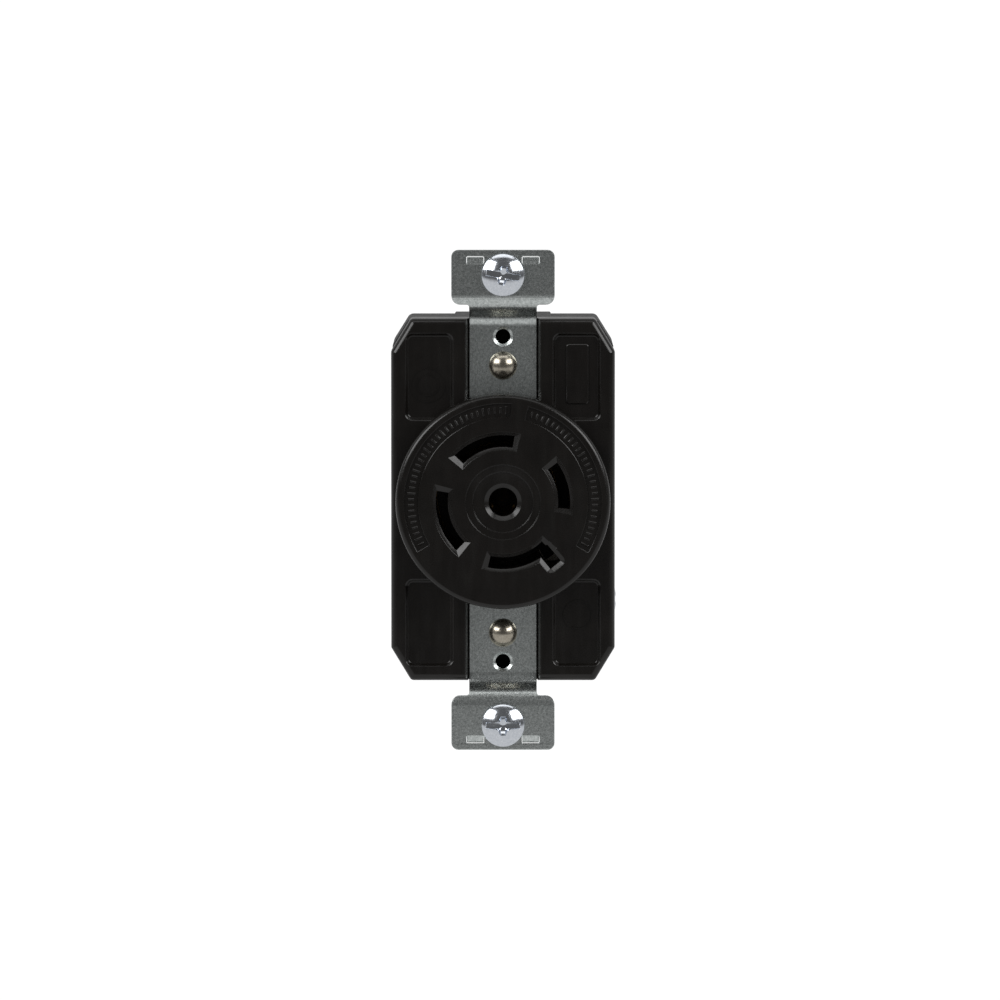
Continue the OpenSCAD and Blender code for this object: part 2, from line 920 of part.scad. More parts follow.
terminal_screw(3, lower_right_out, line_shank, zinc, -10);  // terminal_screw_neutral
terminal_screw(4, ground_out, ground_shank, green, 40);  // terminal_screw_ground
wire_clamp(0, 0);  // wire_clamp_x
wire_clamp(1, 0);  // wire_clamp_y
wire_clamp(2, 0);  // wire_clamp_z
wire_clamp(3, lower_right_out);  // wire_clamp_neutral
wire_clamp(4, ground_out);  // wire_clamp_ground
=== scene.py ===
import json
import math

import bmesh
import bpy
from mathutils import Matrix, Vector


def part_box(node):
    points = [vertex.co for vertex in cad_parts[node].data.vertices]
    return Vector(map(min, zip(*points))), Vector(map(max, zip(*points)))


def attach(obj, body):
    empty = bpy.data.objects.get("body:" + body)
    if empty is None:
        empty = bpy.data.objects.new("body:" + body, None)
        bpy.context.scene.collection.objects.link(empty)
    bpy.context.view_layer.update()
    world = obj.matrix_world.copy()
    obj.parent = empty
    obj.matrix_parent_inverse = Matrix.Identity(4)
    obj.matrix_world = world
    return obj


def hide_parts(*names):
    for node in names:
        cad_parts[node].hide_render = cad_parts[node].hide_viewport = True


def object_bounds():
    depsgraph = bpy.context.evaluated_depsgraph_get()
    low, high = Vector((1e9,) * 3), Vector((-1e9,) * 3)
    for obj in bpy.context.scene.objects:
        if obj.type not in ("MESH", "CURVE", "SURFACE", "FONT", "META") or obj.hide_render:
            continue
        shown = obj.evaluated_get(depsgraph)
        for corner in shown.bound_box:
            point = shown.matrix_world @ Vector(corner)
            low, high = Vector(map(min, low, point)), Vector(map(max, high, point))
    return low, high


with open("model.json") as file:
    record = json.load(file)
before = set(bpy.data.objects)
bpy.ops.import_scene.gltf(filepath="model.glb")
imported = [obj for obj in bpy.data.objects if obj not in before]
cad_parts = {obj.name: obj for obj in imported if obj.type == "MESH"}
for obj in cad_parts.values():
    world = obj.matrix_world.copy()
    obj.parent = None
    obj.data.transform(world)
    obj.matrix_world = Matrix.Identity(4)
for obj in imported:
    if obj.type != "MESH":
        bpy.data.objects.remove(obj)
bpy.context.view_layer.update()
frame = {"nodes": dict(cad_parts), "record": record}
NODES = frame["nodes"]

# Lengths below are in millimetres unless a name says otherwise.
# Shapes are drawn as seen from the front: x to the right, y up, z towards the viewer.
MM = 0.001
FRONT = Matrix(((MM, 0, 0, 0), (0, 0, -MM, 0), (0, MM, 0, 0), (0, 0, 0, 1)))


def node_mm(name):
    """A CAD node's box in millimetres, as ((x0, y0, z0), (x1, y1, z1))."""
    low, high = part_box(name)
    return tuple(low / MM), tuple(high / MM)


COVER_LOW, COVER_HIGH = node_mm("front_cover")
STRAP_LOW, STRAP_HIGH = node_mm("mounting_strap")
HALF_W = COVER_HIGH[0]
HALF_H = COVER_HIGH[2]
FACE_H = -COVER_LOW[1]
SKIRT = COVER_HIGH[1]
STRAP_T = -STRAP_LOW[1]
STRAP_BACK = STRAP_HIGH[1]
SHOULDER_T = STRAP_BACK - STRAP_T
STRAP_TOP = STRAP_HIGH[2]


# ---- Mesh tools ----

def add_object(name, bm):
    """Makes an object of a bmesh that is already in metres and in the row frame."""
    mesh = bpy.data.meshes.new(name)
    bmesh.ops.recalc_face_normals(bm, faces=bm.faces)
    bm.to_mesh(mesh)
    bm.free()
    obj = bpy.data.objects.new(name, mesh)
    bpy.context.scene.collection.objects.link(obj)
    return obj


def fillet_path(points, radius, steps=4, closed=True):
    """A path whose corners are rounded. radius is one number, or one for each point."""
    count = len(points)
    radii = radius if isinstance(radius, (list, tuple)) else [radius] * count
    out = []
    for i, point in enumerate(points):
        p = Vector(point)
        ends = not closed and i in (0, count - 1)
        if radii[i] <= 0 or ends:
            out.append(p)
            continue
        a = Vector(points[i - 1]) - p
        b = Vector(points[(i + 1) % count]) - p
        half = a.angle(b) / 2
        reach = min(radii[i] / math.tan(half), 0.49 * a.length, 0.49 * b.length)
        r = reach * math.tan(half)
        start = p + a.normalized() * reach
        end = p + b.normalized() * reach
        centre = p + (a.normalized() + b.normalized()).normalized() * (r / math.sin(half))
        u = start - centre
        v = end - centre
        swing = u.angle(v)
        side = 1 if u.x * v.y - u.y * v.x > 0 else -1
        for k in range(steps + 1):
            turn = Matrix.Rotation(side * swing * k / steps, 2)
            out.append(centre + turn @ u)
    return out


def loft(loops, matrix, caps=True):
    """A closed skin through loops of 3D points, which all have the same count."""
    bm = bmesh.new()
    rings = [[bm.verts.new(matrix @ Vector(p)) for p in loop] for loop in loops]
    for a, b in zip(rings, rings[1:]):
        for i in range(len(a)):
            j = (i + 1) % len(a)
            bm.faces.new((a[i], a[j], b[j], b[i]))
    if caps:
        bm.faces.new(rings[0])
        bm.faces.new(rings[-1])
    return bm


def lathe(profile, matrix, segments=96, ring=False):
    """Turns a profile of (radius, height) points about z. A ring's profile closes on itself."""
    bm = bmesh.new()
    columns = []
    for i in range(segments):
        a = 2 * math.pi * i / segments
        column = []
        for k, (r, z) in enumerate(profile):
            if r < 1e-6 and i > 0:
                column.append(columns[0][k])
            else:
                column.append(bm.verts.new(matrix @ Vector((r * math.cos(a), r * math.sin(a), z))))
        columns.append(column)
    pairs = list(range(len(profile) - 1))
    for i in range(segments):
        a = columns[i]
        b = columns[(i + 1) % segments]
        for k in pairs + ([len(profile) - 1] if ring else []):
            n = (k + 1) % len(profile)
            corners = []
            for v in (a[k], a[n], b[n], b[k]):
                if v not in corners:
                    corners.append(v)
            if len(corners) > 2:
                bm.faces.new(corners)
    return bm


def combine(obj, other, operation):
    """Joins other to obj, or cuts it out, and deletes other."""
    modifier = obj.modifiers.new("combine", "BOOLEAN")
    modifier.operation = operation
    modifier.solver = "EXACT"
    modifier.use_self = True
    modifier.object = other
    depsgraph = bpy.context.evaluated_depsgraph_get()
    mesh = bpy.data.meshes.new_from_object(obj.evaluated_get(depsgraph))
    obj.modifiers.clear()
    old = obj.data
    obj.data = mesh
    mesh.name = obj.name
    bpy.data.meshes.remove(old)
    bpy.data.meshes.remove(other.data)
    return obj


def cut(obj, bm):
    return combine(obj, add_object("cutter", bm), "DIFFERENCE")


def join(obj, bm):
    return combine(obj, add_object("addition", bm), "UNION")


def merge(*meshes):
    """One bmesh of several, whose shells stay separate."""
    out = bmesh.new()
    for bm in meshes:
        mesh = bpy.data.meshes.new("part")
        bm.to_mesh(mesh)
        bm.free()
        out.from_mesh(mesh)
        bpy.data.meshes.remove(mesh)
    return out


def smooth(obj, degrees=32):
    """Smooth shading with sharp edges kept, and normals that follow the larger faces."""
    mesh = obj.data
    mesh.shade_smooth()
    mesh.set_sharp_from_angle(angle=math.radians(degrees))
    modifier = obj.modifiers.new("even_normals", "WEIGHTED_NORMAL")
    modifier.keep_sharp = True
    modifier.weight = 80
    return obj


def rectangle(x0, x1, y0, y1):
    return [(x0, y0), (x1, y0), (x1, y1), (x0, y1)]


def slab_loops(outline, levels, radius, steps=4):
    """Loops of a rectangle grown by each level's amount, as [(growth, height), ...]."""
    x0, x1, y0, y1 = outline
    loops = []
    for grow, z in levels:
        corners = rectangle(x0 - grow, x1 + grow, y0 - grow, y1 + grow)
        loop = fillet_path(corners, max(radius + grow, 0.05), steps)
        loops.append([(p.x, p.y, z) for p in loop])
    return loops


def plate(name, outline, holes, thickness, bevel, cuts=()):
    """A flat plate in its own x, y plane, centred on z = 0, with rounded edges and round-edged holes."""
    curve = bpy.data.curves.new(name, "CURVE")
    curve.dimensions = "2D"
    curve.fill_mode = "BOTH"
    curve.extrude = thickness / 2 - bevel
    curve.bevel_depth = bevel
    curve.bevel_resolution = 2
    curve.offset = -bevel
    for path in [outline] + list(holes):
        spline = curve.splines.new("POLY")
        spline.points.add(len(path) - 1)
        for point, place in zip(spline.points, path):
            point.co = (place[0], place[1], 0, 1)
        spline.use_cyclic_u = True
    obj = bpy.data.objects.new(name, curve)
    bpy.context.scene.collection.objects.link(obj)
    depsgraph = bpy.context.evaluated_depsgraph_get()
    mesh = bpy.data.meshes.new_from_object(obj.evaluated_get(depsgraph))
    bpy.data.objects.remove(obj)
    bpy.data.curves.remove(curve)
    bm = bmesh.new()
    bm.from_mesh(mesh)
    bpy.data.meshes.remove(mesh)
    bmesh.ops.remove_doubles(bm, verts=bm.verts, dist=1e-4)
    for y in cuts:
        geometry = list(bm.verts) + list(bm.edges) + list(bm.faces)
        bmesh.ops.bisect_plane(bm, geom=geometry, dist=1e-5, plane_co=(0, y, 0), plane_no=(0, 1, 0))
    return bm


def circle(x, y, r, count=48):
    return [
        (x + r * math.cos(2 * math.pi * i / count), y + r * math.sin(2 * math.pi * i / count))
        for i in range(count)
    ]


# ---- Materials ----

def shader(name, colour, metallic, roughness, **sockets):
    """A new material, its node tree and its Principled shader."""
    material = bpy.data.materials.new(name)
    material.use_nodes = True
    tree = material.node_tree
    bsdf = tree.nodes["Principled BSDF"]
    bsdf.inputs["Base Color"].default_value = (*colour, 1)
    bsdf.inputs["Metallic"].default_value = metallic
    bsdf.inputs["Roughness"].default_value = roughness
    for socket, value in sockets.items():
        bsdf.inputs[socket.replace("_", " ")].default_value = value
    material.diffuse_color = (*colour, 1)
    return material, tree, bsdf


def place(tree, stretch=(1, 1, 1)):
    """Coordinates in millimetres on the object, stretched along each axis."""
    coordinates = tree.nodes.new("ShaderNodeTexCoord")
    mapping = tree.nodes.new("ShaderNodeMapping")
    mapping.inputs["Scale"].default_value = [s / MM for s in stretch]
    tree.links.new(coordinates.outputs["Object"], mapping.inputs["Vector"])
    return mapping.outputs["Vector"]


def noise(tree, vector, scale, detail=4, rough=0.55):
    """Noise with features of about 1/scale millimetres."""
    node = tree.nodes.new("ShaderNodeTexNoise")
    node.inputs["Scale"].default_value = scale
    node.inputs["Detail"].default_value = detail
    node.inputs["Roughness"].default_value = rough
    tree.links.new(vector, node.inputs["Vector"])
    return node.outputs["Fac"]


def ramp(tree, factor, stops):
    """A colour ramp from [(position, colour or grey), ...]."""
    node = tree.nodes.new("ShaderNodeValToRGB")
    elements = node.color_ramp.elements
    while len(elements) < len(stops):
        elements.new(0.5)
    for element, (position, value) in zip(elements, stops):
        element.position = position
        element.color = (*value, 1) if isinstance(value, (tuple, list)) else (value, value, value, 1)
    tree.links.new(factor, node.inputs["Fac"])
    return node.outputs["Color"]


def bump(tree, bsdf, heights):
    """Chains bumps of [(factor, strength, distance in millimetres), ...] into the shader's normal."""
    normal = None
    for factor, strength, distance in heights:
        node = tree.nodes.new("ShaderNodeBump")
        node.inputs["Strength"].default_value = strength
        node.inputs["Distance"].default_value = distance * MM
        tree.links.new(factor, node.inputs["Height"])
        if normal is not None:
            tree.links.new(normal, node.inputs["Normal"])
        normal = node.outputs["Normal"]
    tree.links.new(normal, bsdf.inputs["Normal"])


def moulded_plastic(name, dark, light, rough, grain):
    """Black nylon: a fine moulded grain, flow marks and faint handling marks."""
    material, tree, bsdf = shader(name, dark, 0, sum(rough) / 2, Specular_IOR_Level=0.45)
    spot = place(tree)
    cloud = noise(tree, spot, 0.16, 5)
    fine = noise(tree, spot, 6.0, 3)
    streak = noise(tree, place(tree, (0.5, 0.5, 0.08)), 1.2, 4)
    tree.links.new(ramp(tree, cloud, [(0.3, dark), (0.72, light)]), bsdf.inputs["Base Color"])
    tree.links.new(ramp(tree, streak, [(0.3, rough[0]), (0.7, rough[1])]), bsdf.inputs["Roughness"])
    bump(tree, bsdf, [(cloud, 0.25, 0.15), (fine, grain, 0.02)])
    return material


def plated_steel(name, dark, light, rough, stretch, grain):
    """Zinc-plated steel: mottled plating over a rolled or turned surface."""
    material, tree, bsdf = shader(name, light, 1, sum(rough) / 2)
    spot = place(tree)
    mottle = noise(tree, spot, 2.4, 6, 0.75)
    rolled = noise(tree, place(tree, stretch), 5.0, 4, 0.6)
    tree.links.new(ramp(tree, mottle, [(0.32, dark), (0.68, light)]), bsdf.inputs["Base Color"])
    tree.links.new(ramp(tree, rolled, [(0.3, rough[0]), (0.7, rough[1])]), bsdf.inputs["Roughness"])
    bump(tree, bsdf, [(mottle, grain, 0.02), (rolled, grain, 0.01)])
    return material


def fibre_board(name):
    """Vulcanised fibre: a warm brown board with short fibres."""
    material, tree, bsdf = shader(name, (0.2, 0.1, 0.06), 0, 0.7)
    fibres = noise(tree, place(tree, (1, 4, 0.6)), 3.0, 6, 0.7)
    tree.links.new(
        ramp(tree, fibres, [(0.3, (0.13, 0.06, 0.04)), (0.7, (0.3, 0.17, 0.1))]),
        bsdf.inputs["Base Color"],
    )
    bump(tree, bsdf, [(fibres, 0.5, 0.03)])
    return material


MATERIALS = {
    "cover_plastic": moulded_plastic(
        "cover_plastic", (0.0042, 0.0035, 0.0029), (0.0082, 0.007, 0.006), (0.18, 0.28), 0.18),
    "body_plastic": moulded_plastic(
        "body_plastic", (0.005, 0.0048, 0.0047), (0.010, 0.0097, 0.0095), (0.38, 0.52), 0.25),
    "zinc_strap": plated_steel(
        "zinc_strap", (0.38, 0.41, 0.40), (0.88, 0.92, 0.91), (0.20, 0.34), (0.6, 1, 3), 0.5),
    "zinc_screw": plated_steel(
        "zinc_screw", (0.66, 0.70, 0.76), (0.86, 0.89, 0.94), (0.10, 0.20), (1, 1, 1), 0.10),
    "rivet_nickel": plated_steel(
        "rivet_nickel", (0.36, 0.325, 0.265), (0.56, 0.515, 0.43), (0.20, 0.30), (1, 1, 1), 0.2),
    "contact_brass": plated_steel(
        "contact_brass", (0.60, 0.40, 0.14), (0.86, 0.62, 0.28), (0.24, 0.4), (1, 4, 0.3), 0.2),
    "contact_nickel": plated_steel(
        "contact_nickel", (0.52, 0.48, 0.42), (0.74, 0.70, 0.63), (0.24, 0.38), (1, 4, 0.3), 0.2),
    "spring_steel": plated_steel(
        "spring_steel", (0.36, 0.37, 0.40), (0.54, 0.55, 0.58), (0.22, 0.34), (1, 4, 1), 0.15),
    "screw_brass": plated_steel(
        "screw_brass", (0.66, 0.46, 0.18), (0.90, 0.68, 0.34), (0.18, 0.32), (1, 1, 1), 0.15),
    "screw_green": plated_steel(
        "screw_green", (0.02, 0.16, 0.06), (0.05, 0.34, 0.13), (0.2, 0.34), (1, 1, 1), 0.15),
    "clamp_steel": plated_steel(
        "clamp_steel", (0.50, 0.51, 0.53), (0.70, 0.71, 0.74), (0.26, 0.4), (1, 3, 1), 0.25),
    "fibre": fibre_board("fibre"),
}

SLOTS = {part["node"]: part["material_slot"] for part in frame["record"]["subparts"]}


def stand_for(obj, node):
    """The piece takes the place, the body and the finish of a CAD node."""
    body = next(b for b, names in frame["record"]["behaviour"]["bodies"].items() if node in names)
    obj.data.materials.clear()
    obj.data.materials.append(MATERIALS[SLOTS[node]])
    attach(obj, body)
    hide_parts(node)
    return obj


# ---- Camera, lights and floor ----

CAMERA_DISTANCE = 1.5
CAMERA_ELEVATION = math.radians(3.9)
CAMERA_LENS = 292
WHITE = 1.05
SENSOR = 36
VIEW_CENTRE = Vector((-0.00055, 0, 0))


def look_at(obj, target):
    obj.rotation_euler = (target - obj.location).to_track_quat("-Z", "Y").to_euler()


def add_camera():
    data = bpy.data.cameras.new("camera")
    data.lens = CAMERA_LENS
    data.sensor_width = SENSOR
    data.clip_start = 0.05
    data.clip_end = 20
    obj = bpy.data.objects.new("camera", data)
    away = Vector((0, -math.cos(CAMERA_ELEVATION), math.sin(CAMERA_ELEVATION)))
    obj.location = VIEW_CENTRE + away * CAMERA_DISTANCE
    look_at(obj, VIEW_CENTRE)
    bpy.context.scene.collection.objects.link(obj)
    bpy.context.scene.camera = obj


def add_softbox(name, place_m, size, watts):
    data = bpy.data.lights.new(name, "AREA")
    data.shape = "RECTANGLE"
    data.size = size[0]
    data.size_y = size[1]
    data.energy = watts
    obj = bpy.data.objects.new(name, data)
    obj.location = place_m
    look_at(obj, Vector((0, 0, 0)))
    bpy.context.scene.collection.objects.link(obj)


def white_to_camera(tree, lamp, white):
    """Lights the object with one shader, and shows plain white in its place."""
    white.inputs["Color"].default_value = (1, 1, 1, 1)
    white.inputs["Strength"].default_value = WHITE
    rays = tree.nodes.new("ShaderNodeLightPath")
    mix = tree.nodes.new("ShaderNodeMixShader")
    tree.links.new(rays.outputs["Is Camera Ray"], mix.inputs["Fac"])
    tree.links.new(lamp.outputs[0], mix.inputs[1])
    tree.links.new(white.outputs[0], mix.inputs[2])
    return mix.outputs["Shader"]


FLOOR_HALF = 9.0
FLOOR_GAP = 0.1
FLOOR_DIM = -0.7
FLOOR_BRIGHT = -0.35


def add_floor():
    """A wide white floor below the lower ear, bright close to the object and clear from below."""
    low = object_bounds()[0]
    level = low[2] - FLOOR_GAP
    bm = bmesh.new()
    corners = rectangle(-FLOOR_HALF, FLOOR_HALF, -FLOOR_HALF, FLOOR_HALF)
    bm.faces.new([bm.verts.new((x, y, level)) for x, y in corners])
    floor = add_object("floor", bm)
    material = bpy.data.materials.new("floor")
    material.use_nodes = True
    tree = material.node_tree
    tree.nodes.clear()
    coordinates = tree.nodes.new("ShaderNodeTexCoord")
    split = tree.nodes.new("ShaderNodeSeparateXYZ")
    tree.links.new(coordinates.outputs["Object"], split.inputs["Vector"])
    reach = tree.nodes.new("ShaderNodeMapRange")
    reach.inputs["From Min"].default_value = FLOOR_DIM
    reach.inputs["From Max"].default_value = FLOOR_BRIGHT
    tree.links.new(split.outputs["Y"], reach.inputs["Value"])
    bounce = tree.nodes.new("ShaderNodeEmission")
    tree.links.new(ramp(tree, reach.outputs["Result"], [(0, 0.1), (1, 0.6)]), bounce.inputs["Color"])
    output = tree.nodes.new("ShaderNodeOutputMaterial")
    seen = white_to_camera(tree, bounce, tree.nodes.new("ShaderNodeEmission"))
    side = tree.nodes.new("ShaderNodeNewGeometry")
    clear = tree.nodes.new("ShaderNodeBsdfTransparent")
    mix = tree.nodes.new("ShaderNodeMixShader")
    tree.links.new(side.outputs["Backfacing"], mix.inputs["Fac"])
    tree.links.new(seen, mix.inputs[1])
    tree.links.new(clear.outputs[0], mix.inputs[2])
    tree.links.new(mix.outputs["Shader"], output.inputs["Surface"])
    floor.data.materials.append(material)


def add_world():
    """White to look at, but a soft gradient as a light: pale behind the object, dim in front of it."""
    world = bpy.data.worlds.new("studio")
    world.use_nodes = True
    tree = world.node_tree
    lamp = tree.nodes["Background"]
    backdrop = tree.nodes.new("ShaderNodeBackground")
    direction = tree.nodes.new("ShaderNodeTexCoord")
    split = tree.nodes.new("ShaderNodeSeparateXYZ")
    tree.links.new(direction.outputs["Generated"], split.inputs["Vector"])
    stretch = tree.nodes.new("ShaderNodeMapRange")
    stretch.inputs["From Min"].default_value = -1
    tree.links.new(split.outputs["Y"], stretch.inputs["Value"])
    shade = ramp(tree, stretch.outputs["Result"], [(0.3, 0.1), (0.5, 0.3), (0.62, 0.46), (0.85, 0.42)])
    tree.links.new(shade, lamp.inputs["Color"])
    seen = white_to_camera(tree, lamp, backdrop)
    tree.links.new(seen, tree.nodes["World Output"].inputs["Surface"])
    bpy.context.scene.world = world
    bpy.context.scene.view_settings.view_transform = "Standard"


# ---- Front cover ----

CUT_X = 3.7
CUT_Z = 6.1
WALL = 1.6
CORNER_R = 0.9
SHOULDER_ROUND = 1.25
CHANNEL = 6.9
POCKET = (9.15, 18.1, 14.65, 30.9)
POCKET_DEPTH = 0.6
POCKET_R = 1.4
PAD = (11.7, 15.8, 17.8, 28.85)
RINGS = ((-13.9, 21.3, 2.0), (-13.9, 21.3, 3.15), (13.85, -21.3, 2.6))
RING_HALF_W = 0.17
HOLE_R = 2.6
HOLE_MOUTH_R = 3.45
DISH_R = 5.6
STEP_R = 6.9
DISH_DEPTH = 0.5
STEP_DEPTH = 0.25
FACE_R = 19.8
SLOT_IN = 10.2
SLOT_OUT = 12.35
SLOT_ANGLES = [(80.2, 135.8), (-5.7, 36.0), (170.3, 226.0), (257.1, 314.5)]
KEY_ANGLE = 310
KEY_W = 2.4
KEY_OUT = 15.1
BANDS = [(85, 210), (-30.5, 75)]
BAND_IN = 15.7
BAND_OUT = 18.2
BAND_DEPTH = 0.35
TICK_STEP = 3.6
TICK_MARGIN = 3
TICK_HALF_W = 0.2


def cut_inset(along, across, w):
    return along + w * ((math.hypot(along, across) - along) / across - 1)


def octagon_loop(inset, z, half_w=HALF_W, half_h=HALF_H, cut_x=CUT_X, cut_z=CUT_Z, r=CORNER_R):
    """The cover's outline moved inwards, with rounded corners, at height z."""
    x = half_w - inset
    y = half_h - inset
    cx = cut_inset(cut_x, cut_z, inset)
    cz = cut_inset(cut_z, cut_x, inset)
    corners = [
        (x - cx, y), (cx - x, y), (-x, y - cz), (-x, cz - y),
        (cx - x, -y), (x - cx, -y), (x, cz - y), (x, y - cz),
    ]
    return [(p.x, p.y, z) for p in fillet_path(corners, max(r - inset, 0.2))]


def shoulder_plate():
    loops = []
    for degrees in range(0, 91, 15):
        a = math.radians(degrees)
        inset = SHOULDER_ROUND * (1 - math.sin(a))
        loops.append(octagon_loop(inset, -SHOULDER_ROUND * (1 - math.cos(a))))
    loops.append(octagon_loop(0, -SKIRT + 0.2))
    loops.append(octagon_loop(0.2, -SKIRT))
    loops.append(octagon_loop(WALL, -SKIRT))
    loops.append(octagon_loop(WALL, -SHOULDER_T))
    return add_object("front_cover_moulding", loft(loops, FRONT))


def channel_cutter(way):
    """The open channel that shows the strap, with rounded edges."""
    wall = NECK + 0.15
    corners = [(wall, -STRAP_BACK - 0.1), (wall, -SHOULDER_T), (CHANNEL, 0), (CHANNEL + 2, 0)]
    side = fillet_path(corners, [0, 0.1, 0.35, 0], closed=False)
    right = [(p.x, p.y) for p in side] + [(CHANNEL + 2, 2)]
    outline = right + [(-x, z) for x, z in reversed(right)]
    y0, y1 = (14.0, HALF_H + 3) if way > 0 else (-HALF_H - 3, -14.0)
    return loft([[(x, y, z) for x, z in outline] for y in (y0, y1)], FRONT)


def pocket_cutter(sx, sy):
    """One corner pocket with soft walls."""
    levels = [(-0.66, -POCKET_DEPTH), (-0.52, -POCKET_DEPTH + 0.06), (-0.14, -0.1)]
    levels += [(-0.05, -0.04), (0.02, 0), (0.02, 1)]
    loops = slab_loops(POCKET, levels, POCKET_R, 6)
    return loft([[(sx * x, sy * y, z) for x, y, z in loop] for loop in loops], FRONT)


def arc_loop(angles, r0, r1, grow, end_grow, z, steps=28):
    """Outline of part of a ring, grown by grow across and end_grow at both ends."""
    inner = r0 - grow
    outer = r1 + grow
    middle = (r0 + r1) / 2
    swing = math.degrees(end_grow / middle)
    a0, a1 = angles[0] - swing, angles[1] + swing
    turns = [math.radians(a0 + (a1 - a0) * k / steps) for k in range(steps + 1)]
    loop = [(outer * math.cos(a), outer * math.sin(a), z) for a in turns]
    loop += [(inner * math.cos(a), inner * math.sin(a), z) for a in reversed(turns)]
    return loop


FLARE = 0.65
FLARE_END = 1.0
FLARE_DEPTH = 0.55


def slot_levels():
    """(share of the lead-in, height) from the back of the cover to above the face."""
    top = FACE_H
    return [
        (0, -SHOULDER_T - 1), (0, top - FLARE_DEPTH - 0.1), (0.04, top - FLARE_DEPTH),
        (0.88, top - 0.1), (0.98, top - 0.02), (1.04, top), (1.04, top + 1),
    ]


def slot_cutter(angles):
    loops = [
        arc_loop(angles, SLOT_IN, SLOT_OUT, FLARE * share, FLARE_END * share, z)
        for share, z in slot_levels()
    ]
    return loft(loops, FRONT)


def key_cutter():
    """The outward key of the fourth slot."""
    turn = Matrix.Rotation(math.radians(KEY_ANGLE), 4, "Z")
    outline = (SLOT_IN + 1, KEY_OUT, -KEY_W / 2, KEY_W / 2)
    levels = [(0.8 * share, z) for share, z in slot_levels()]
    return loft(slab_loops(outline, levels, 0.15), FRONT @ turn)


def band_cutter(angles):
    top = FACE_H
    floor = top - BAND_DEPTH
    levels = [(-0.08, floor), (0, floor + 0.08), (0, top - 0.1), (0.03, top - 0.03)]
    levels += [(0.1, top), (0.1, top + 1)]
    return loft([arc_loop(angles, BAND_IN, BAND_OUT, g, g, z, 96) for g, z in levels], FRONT)


def face_boss():
    """The round face: rim, two shallow dishes, and the grounding hole."""
    top = FACE_H
    back = -SHOULDER_T + 0.03
    dish = top - DISH_DEPTH
    step = top - STEP_DEPTH
    profile = [
        (HOLE_R, back), (HOLE_R, dish - 0.6), (HOLE_MOUTH_R, dish), (DISH_R, dish), (DISH_R + 0.02, step),
        (STEP_R, step), (STEP_R + 0.05, top), (FACE_R, top), (FACE_R, back),
    ]
    radii = [0, 0.15, 0.12, 0.1, 0.08, 0.08, 0.08, 0.9, 0]
    rounded = [(p.x, p.y) for p in fillet_path(profile, radii, 5)]
    return lathe(rounded, FRONT, 192, ring=True)


def band_ticks():
    """Plain raised ribs along the two bands."""
    parts = []
    for a0, a1 in BANDS:
        run = a1 - a0 - 2 * TICK_MARGIN
        count = int(run / TICK_STEP)
        for k in range(count + 1):
            a = a0 + TICK_MARGIN + run * k / count
            turn = Matrix.Rotation(math.radians(a), 4, "Z")
            half = 0.62 if k % 4 else 0.82
            middle = (BAND_IN + BAND_OUT) / 2
            outline = (middle - half, middle + half, -TICK_HALF_W, TICK_HALF_W)
            floor = FACE_H - BAND_DEPTH
            levels = [(0, floor - 0.1), (0, floor + 0.05), (-0.13, floor + 0.17)]
            parts.append(loft(slab_loops(outline, levels, 0.1, 2), FRONT @ turn))
    return merge(*parts)


def pocket_marks():
    """A plain raised pad and plain raised rings."""
    floor = -POCKET_DEPTH
    levels = [(0.1, floor - 0.1), (0, floor + 0.22), (-0.14, floor + 0.32)]
    parts = [loft(slab_loops(PAD, levels, 0.5), FRONT)]
    for x, y, r in RINGS:
        foot, crest = RING_HALF_W, RING_HALF_W - 0.05
        ring = [(r - foot, floor - 0.1), (r + foot, floor - 0.1)]
        ring += [(r + crest, floor + 0.14), (r - crest, floor + 0.14)]
        parts.append(lathe(ring, FRONT @ Matrix.Translation((x, y, 0)), 64, ring=True))
    return merge(*parts)


def build_cover():
    cover = shoulder_plate()
    for way in (1, -1):
        cut(cover, channel_cutter(way))
    for sx in (1, -1):
        for sy in (1, -1):
            cut(cover, pocket_cutter(sx, sy))
    join(cover, pocket_marks())
    cut(cover, cylinder_at(FRONT, 3.5, -SHOULDER_T - 1, 1))
    join(cover, face_boss())
    for angles in SLOT_ANGLES:
        cut(cover, slot_cutter(angles))
    cut(cover, key_cutter())
    for angles in BANDS:
        cut(cover, band_cutter(angles))
    join(cover, band_ticks())
    stand_for(smooth(cover, 21), "front_cover")


# ---- Sheet metal ----

BEND_R = 3.0
BEND_ANGLE = math.radians(50)
BEND_TOP = 38.2
MID_R = BEND_R + STRAP_T / 2
BEND_SLOPE = (SHOULDER_T - 2 * BEND_R + 2 * MID_R * math.cos(BEND_ANGLE)) / math.sin(BEND_ANGLE)
BEND_FOOT = BEND_TOP - 2 * MID_R * math.sin(BEND_ANGLE) - BEND_SLOPE * math.cos(BEND_ANGLE)
BEND_ARC = MID_R * BEND_ANGLE
BEND_RUN = 2 * BEND_ARC + BEND_SLOPE
STRETCH = BEND_FOOT + BEND_RUN - BEND_TOP
BEND_STEPS = 10
NECK = 6.25
EAR_HALF = 9.55
EAR_FOOT = BEND_TOP - 1.95
RING_IN = 16.0
RING_OUT = 19.0
SCREW_Z = 41.67
RIVET_Z = 24.8
EAR_HOLE_R = 2.0
RIVET_HOLE_R = 1.65
TAP_R = 1.37
TAP_ROOT_R = 1.55
PLATE_HOLE_Z = 30.165
WINDOW = (3.5, 6.75, 43.4, 45.1)
TAB_ROOT = 0.33
TAB_TILT = 20
SHEET_EDGE = 0.14


